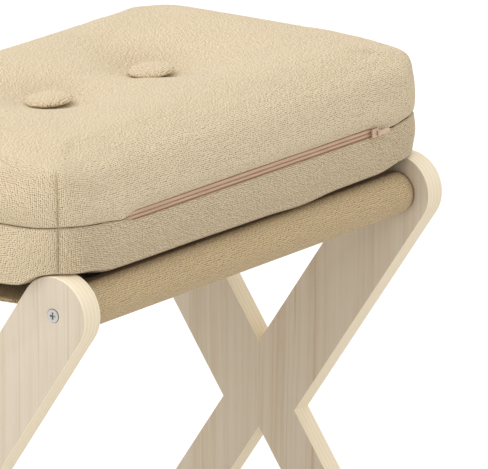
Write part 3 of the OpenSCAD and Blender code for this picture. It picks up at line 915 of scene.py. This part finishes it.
def puff(points, faces, held, pressure, cap, slack):
    """Blows a closed skin up by cloth simulation: held is 1 where a point stays, cap the furthest it moves."""
    normals = vertex_normals(points, faces)
    mesh = mesh_of("puff", points - normals * (slack * (1 - held))[:, None], faces)
    skin = new_object("puff", mesh)
    group = skin.vertex_groups.new(name="held")
    for index, weight in enumerate(held):
        if weight > 0:
            group.add([index], float(weight), "REPLACE")
    modifier = skin.modifiers.new("cloth", "CLOTH")
    modifier.point_cache.frame_end = 24
    cloth = modifier.settings
    cloth.quality = 6
    cloth.mass = 0.25
    cloth.air_damping = 2.0
    cloth.tension_stiffness = cloth.compression_stiffness = 14
    cloth.shear_stiffness = 6
    cloth.bending_stiffness = 0.6
    cloth.vertex_group_mass = "held"
    cloth.use_pressure = True
    cloth.uniform_pressure_force = pressure
    cloth.effector_weights.gravity = 0
    for step in range(1, 21):
        bpy.context.scene.frame_set(step)
    graph = bpy.context.evaluated_depsgraph_get()
    move = np.array([v.co for v in skin.evaluated_get(graph).data.vertices]) - points
    bpy.data.objects.remove(skin)
    bpy.data.meshes.remove(mesh)
    bpy.context.scene.frame_set(1)
    # The top and the underside keep their mean height
    flat = np.abs(normals[:, 2]) > 0.9
    for side in (1, -1):
        part = flat & (normals[:, 2] * side > 0)
        drift = (move[part] * normals[part]).sum(1).mean()
        share = np.clip(normals[:, 2] * side, 0, 1) * (1 - held)
        move -= normals * (drift * share)[:, None]
    far = np.linalg.norm(move, axis=1)
    return points + move * np.minimum(1, cap / np.maximum(far, 1e-9))[:, None]


def hold_weights(points, halves):
    """Where the skin is held: the waist, the tufts, and the underside where it rests."""
    held = np.zeros(len(points))
    first = 0
    for half in halves:
        for row, weight in ((-1, 1), (-2, 0.9), (-3, 0.5)):
            held[half.band_index[row] + first] = weight
        part = slice(first, first + len(half.points))
        x, y, z = points[part].T
        shift, reach = (half.c.button_shift, BUTTON_R) if half.side > 0 else (0, STUD_R)
        tuft = np.hypot(x, np.abs(y - shift) - TUFT_Y)
        held[part] = np.maximum(held[part], fade(tuft, reach, reach * 1.6))
        if half.side < 0:
            low = np.clip(1 - (z - belly_z(x, y, half.c)) / (6 * MM), 0, 1)
            held[part] = np.maximum(held[part], low * 0.9)
        first = part.stop
    return held


def creases(points, c):
    """Depth of the creases that run out from the top buttons."""
    y = points[:, 1] - c.button_shift
    side = np.sign(y)
    x, y = points[:, 0], y - side * TUFT_Y
    far, turn = np.hypot(x, y), np.degrees(np.arctan2(y, x))
    wave = np.zeros(len(points))
    for bearing, width, share in CREASES:
        wave += share * bell((turn - bearing - 9 * side + 180) % 360 - 180, width)
    reach = smooth_step(far, 12 * MM, 20 * MM) * np.exp(-np.maximum(far - 18 * MM, 0) / (17 * MM))
    return c.crease * wave * reach


def uneven(p):
    """Slight lumps of the filling under the cloth."""
    near = noise.noise(Vector(p) * 16)
    wide = noise.noise(Vector(p) * 7 + Vector((3, 5, 7)))
    return (near * 0.3 + wide * 0.5) * MM


def draw_darts(half, points):
    """Draws the cloth in along the dart seams at the corners."""
    columns = half.outline.columns
    distance = columns[:, 6]
    depth = half.c.dart_depth * np.exp(-(distance / (1.5 * MM)) ** 1.4)
    depth = depth - 0.35 * MM * bell(distance - 6 * MM, 4 * MM)
    inward = np.column_stack([columns[:, 2:4], np.zeros(half.ring_size)])
    for m in range(half.rows):
        share = min(1.0, m / 6) if m < half.rows - 1 else 0.3
        points[half.band_index[m]] -= inward * (depth * share)[:, None]


def seam_and_painted_shade_marks(half, count):
    """How much each point's cloth darkens.

    The dart seams and the waist's edge darken in thin lines. The underside and one side of each dimple get
    painted shade, and the long sides get painted shade below the waist and a painted highlight above it.
    """
    # Painted shade over the whole underside and its turned-in lips; the upper half starts from none
    marks = np.full(count, 0.8)
    if half.side > 0:
        # Painted shade on one side of each top dimple, off towards the far left of its button
        x, y = half.points[:, 0] + 18 * MM, half.points[:, 1] - half.c.button_shift - 12 * MM
        marks[:] = 0
        marks[:len(x)] = 0.24 * tuft_fade(x, y, 8 * MM, 44 * MM)
    # Painted highlight on the long sides above the waist and painted shade below it
    long_side = half.outline.columns[:, 2] ** 2
    dart = bell(half.outline.columns[:, 6], 0.65 * MM)
    for m in range(3, half.rows):
        marks[half.band_index[m]] = dart * min(1.0, (m - 2) / 7) - half.side * 0.3 * long_side
    marks[half.band_index[-1]] = 0.6
    return marks


def turn_in(half, points, quads, cloth):
    """Adds the turned-in lips behind the waist, which show the cloth's thickness there."""
    waist, size, columns = half.band_index[-1], half.ring_size, half.outline.columns
    rings, rows = [points], [waist]
    for inset, back in LIPS:
        ring = points[waist].copy()
        ring[:, :2] -= columns[:, 2:4] * inset
        ring[:, 2] += half.side * back
        rows.append(sum(map(len, rings)) + np.arange(size))
        rings.append(ring)
    for low, high in zip(rows, rows[1:]):
        for k in range(size):
            after = (k + 1) % size
            quad = (low[k], high[k], high[after], low[after])
            quads.append(quad if half.side > 0 else quad[::-1])
            cloth.append([half.flap(int(columns[k, 4]), columns[k, 5], drop, half.band[0, k])
                          for drop in (0.1, 0.101)] * 2)
    return np.concatenate(rings)


class FOOTREST_OT_cover(bpy.types.Operator):
    """Sews the cushion's cover, fills it and cuts its foam core to suit"""
    bl_idname = "footrest.cover"
    bl_label = "Cover and foam"

    def execute(self, context):
        c = settings("cushion")
        outline = Outline(c)
        halves = [Half(1, outline, c), Half(-1, outline, c)]
        made = [half.faces() for half in halves]
        below, size = len(halves[0].points), halves[0].ring_size
        points = np.concatenate([half.points for half in halves])
        faces = made[0][0] + [tuple(i + below for i in quad) for quad in made[1][0]]
        upper, lower = halves[0].band_index[-1], halves[1].band_index[-1] + below
        belt = [(upper[k], lower[k], lower[(k + 1) % size], upper[(k + 1) % size]) for k in range(size)]
        cap = 2.2 * MM + 4 * MM * tuft_fade(points[:, 0], points[:, 1], 30 * MM, 95 * MM)
        points = puff(points, faces + belt, hold_weights(points, halves), c.pressure, cap, 1.2 * MM)
        lumps = np.array([uneven(p) for p in points])
        lumps[:below] -= creases(points[:below], c)
        points = points + vertex_normals(points, faces) * lumps[:, None]
        names = (("cover_upper_half", "cover_top"), ("cover_lower_half", "cover_bottom"))
        for half, (quads, cloth), first, (name, node) in zip(halves, made, (0, below), names):
            part = points[first:first + len(half.points)].copy()
            draw_darts(half, part)
            if half.side < 0:
                part[:, 2] = np.maximum(part[:, 2], support_z(part[:, 0], part[:, 1]) + LEAST_GAP)
            part = turn_in(half, part, quads, cloth)
            mesh = mesh_of(name, part, quads, [uv for face in cloth for uv in face])
            darken(mesh, seam_and_painted_shade_marks(half, len(part)))
            piece = add_piece(mesh, cover_linen(), "cushion", node)
            subdivide(piece)
        inner = points - vertex_normals(points, faces) * FOAM_INSET
        block = mesh_of("foam_block", inner, faces + belt)
        core = add_piece(block, shared("open_foam", foam), "cushion", "cushion_core")
        return {"FINISHED"}


# Buttons and twine


def button_mesh(name, radius, places, up):
    """Cloth-covered buttons: a soft dome with a rounded rim, drawn flat underneath."""
    count, rows = 56, len(BUTTON_SHAPE) - 2
    points, faces = [], []
    for px, py, pz in places:
        first = len(points)
        for share, height in BUTTON_SHAPE[1:-1]:
            for k in range(count):
                turn = 2 * PI * k / count
                fold = 0.012 * math.sin(9 * turn) * max(0.0, share - 0.85) / 0.15
                reach = radius * (share + fold)
                x, y = px + reach * math.cos(turn), py + reach * math.sin(turn)
                points.append((x, y, pz + up * height * radius))
        top, bottom = len(points), len(points) + 1
        points += [(px, py, pz + up * BUTTON_SHAPE[end][1] * radius) for end in (0, -1)]
        faces += [(a, d, c, b) for a, b, c, d in round_quads(rows - 1, count, first)]
        last = first + (rows - 1) * count
        for k in range(count):
            after = (k + 1) % count
            faces += [(top, first + k, first + after), (bottom, last + after, last + k)]
    if up < 0:
        faces = [face[::-1] for face in faces]
    corners = [points[i] for face in faces for i in face]
    return mesh_of(name, points, faces, [(x * 1.02, y + (z - AXIS_Z) * 0.5) for x, y, z in corners])


class FOOTREST_OT_buttons(bpy.types.Operator):
    """Ties the covered buttons into the tufts"""
    bl_idname = "footrest.buttons"
    bl_label = "Buttons and twine"

    def execute(self, context):
        c = settings("cushion")
        tufts = [s * TUFT_Y + c.button_shift for s in (-1, 1)]
        places = [(0, y, float(crown_z(0, y, c)) + BUTTON_RISE * BUTTON_R) for y in tufts]
        low = float(belly_z(0, TUFT_Y, c)) - STUD_RISE * STUD_R
        studs = [(0, s * TUFT_Y, low) for s in (-1, 1)]
        upper = button_mesh("top_tuft_buttons", BUTTON_R, places, 1)
        lean = Matrix.Rotation(c.button_tilt, 3, Vector((0.61, -0.79, 0)))
        for vertex in upper.vertices:
            centre = Vector(places[vertex.co.y > c.button_shift])
            vertex.co = centre + lean @ (vertex.co - centre)
        under = button_mesh("underside_tuft_buttons", STUD_R, studs, -1)
        for mesh, node in ((upper, "top_buttons"), (under, "underside_buttons")):
            subdivide(add_piece(mesh, cover_linen(), "cushion", node))
        finish_node("tuft_twine", shared("waxed_twine", twine))
        return {"FINISHED"}


# Zip


def tape_mesh(name, side):
    """A zip tape: a flat band whose edge folds over its coil and meets the other tape's edge."""
    reach = (tape_high.z - ZIP_Z) / MM
    shape = (*TAPE_FRONT, (0.0, reach), (-0.6, reach), *TAPE_BACK)
    loop = [(ZIP_X + out * MM, ZIP_Z + side * up * MM) for out, up in shape]
    count, rows = len(loop), 108
    points = [(x, TAPE_END * (2 * j / rows - 1), z) for j in range(rows + 1) for x, z in loop]
    faces = round_quads(rows, count)
    faces += [tuple(range(count))[::-1], tuple(rows * count + k for k in range(count))]
    if side > 0:
        faces = [face[::-1] for face in faces]
    return mesh_of(name, points, faces)


class FOOTREST_OT_zip(bpy.types.Operator):
    """Finishes the zip's tapes, coils, stops, slider and pull"""
    bl_idname = "footrest.zip"
    bl_label = "Zip"

    def execute(self, context):
        for side, name in ((1, "upper"), (-1, "lower")):
            add_piece(tape_mesh(name + "_tape", side), shared("woven_tape", tape), "cushion",
                      "zip_tape_" + name)
            finish_node("zip_coil_" + name, shared("coil_nylon", enamel, 176, 140, 114))
        for name in ("zip_stops", "zip_slider", "zip_pull"):
            finish_node(name, shared("tan_enamel", enamel, 205, 176, 150))
        return {"FINISHED"}


# Stage


def white_for_the_eye(shader):
    """1 on rays that the camera, mirrors and glass send, 0 on others."""
    path = shader.node("LightPath").outputs
    eye, gloss, through = (Value(shader, path["Is %s Ray" % kind])
                           for kind in ("Camera", "Glossy", "Transmission"))
    return eye.most(gloss).most(through)


def lay_floor():
    """A wide pale floor that keeps the object's shadow."""
    material = bpy.data.materials.new("pale_floor")
    s = Shader(material)
    seen = white_for_the_eye(s)
    paint = s.colour(seen, srgb(222, 221, 219), srgb(246, 246, 246))
    base = s.node("BsdfDiffuse", {"Color": paint})
    glow = s.node("Emission", {"Color": (1, 1, 1), "Strength": seen * 0.06})
    both = s.node("AddShader", {0: base.outputs[0], 1: glow.outputs[0]})
    s.node("OutputMaterial", {"Surface": both.outputs[0]})
    reach = 14.0
    corners = [(-reach, -reach, 0), (reach, -reach, 0), (reach, reach, 0), (-reach, reach, 0)]
    mesh = mesh_of("floor", corners, [(0, 1, 2, 3)])
    mesh.materials.append(material)
    new_object("floor", mesh)


def hang_sky(stage):
    """Soft light all round, stronger from overhead, that the camera sees as white."""
    world = bpy.data.worlds.new("sky")
    s = Shader(world)
    seen = white_for_the_eye(s)
    height = s.place("Generated")[2].most(0.0)
    light = height * (stage.sky - stage.horizon) + stage.horizon
    tone = s.colour(seen, s.colour(height, (1.02, 0.985, 0.9), (1, 1, 1.02)), (1, 1, 1))
    back = s.node("Background", {"Color": tone, "Strength": seen * (1 - light) + light})
    s.node("OutputWorld", {"Surface": back.outputs[0]})
    bpy.context.scene.world = world


def hang_lamp(name, place, size, power):
    """A soft square lamp aimed at the middle between the rails."""
    data = bpy.data.lights.new(name, "AREA")
    data.energy, data.size, data.color = power, size, (1, 1, 1.02)
    lamp = new_object(name, data)
    lamp.location = place
    lamp.rotation_euler = (Vector((0, 0, AXIS_Z)) - Vector(place)).to_track_quat("-Z", "Y").to_euler()


def set_camera(stage):
    """A long lens at the photograph's angle."""
    data = bpy.data.cameras.new("camera")
    data.sensor_width, data.lens = 36, stage.lens
    data.clip_start, data.clip_end = 0.1, 60
    camera = new_object("camera", data)
    a, e = stage.azimuth, stage.elevation
    right = Vector((math.cos(a), math.sin(a), 0))
    up = Vector((-math.sin(a) * math.sin(e), math.cos(a) * math.sin(e), math.cos(e)))
    turn = Matrix((right, up, right.cross(up))).transposed().to_4x4()
    camera.matrix_world = Matrix.Translation(stage.place) @ turn
    bpy.context.scene.camera = camera


class FOOTREST_OT_stage(bpy.types.Operator):
    """Sets the floor, the sky, the lamps and the camera"""
    bl_idname = "footrest.stage"
    bl_label = "Stage"

    def execute(self, context):
        stage = settings("stage")
        context.scene.view_settings.view_transform = "Standard"
        lay_floor()
        hang_sky(stage)
        hang_lamp("key", (-0.9, -1.2, 2.3), 1.4, stage.lamp)
        hang_lamp("front", (0.5, -2.6, 0.9), 1.2, stage.front)
        set_camera(stage)
        return {"FINISHED"}


class FOOTREST_PT_sidebar(bpy.types.Panel):
    """Lists the footrest's pieces and sizes"""
    bl_label = "Footrest"
    bl_idname = "FOOTREST_PT_sidebar"
    bl_space_type = "VIEW_3D"
    bl_region_type = "UI"
    bl_category = "Footrest"

    def draw(self, context):
        for group in GROUPS:
            box = self.layout.box()
            box.label(text=group.capitalize())
            data = settings(group)
            for key in data.__annotations__:
                box.prop(data, key)
        for operator in OPERATORS:
            self.layout.operator(operator.bl_idname)


GROUPS = {"cushion": FootrestCushion, "cloth": FootrestCloth, "wood": FootrestWood, "stage": FootrestStage}
OPERATORS = (FOOTREST_OT_panels, FOOTREST_OT_rails, FOOTREST_OT_hardware, FOOTREST_OT_sling,
             FOOTREST_OT_cover, FOOTREST_OT_buttons, FOOTREST_OT_zip, FOOTREST_OT_stage)


def register():
    """Adds the property groups, the operators and the panel."""
    for made in (*GROUPS.values(), *OPERATORS, FOOTREST_PT_sidebar):
        bpy.utils.register_class(made)
    for name, made in GROUPS.items():
        setattr(bpy.types.Scene, "footrest_" + name, PointerProperty(type=made))


def unregister():
    """Takes them away again."""
    for name in GROUPS:
        delattr(bpy.types.Scene, "footrest_" + name)
    for made in (FOOTREST_PT_sidebar, *reversed(OPERATORS), *reversed(GROUPS.values())):
        bpy.utils.unregister_class(made)


def build():
    """Builds every piece and the stage."""
    register()
    for operator in OPERATORS:
        group, name = operator.bl_idname.split(".")
        getattr(getattr(bpy.ops, group), name)()


if __name__ == "__main__":
    build()
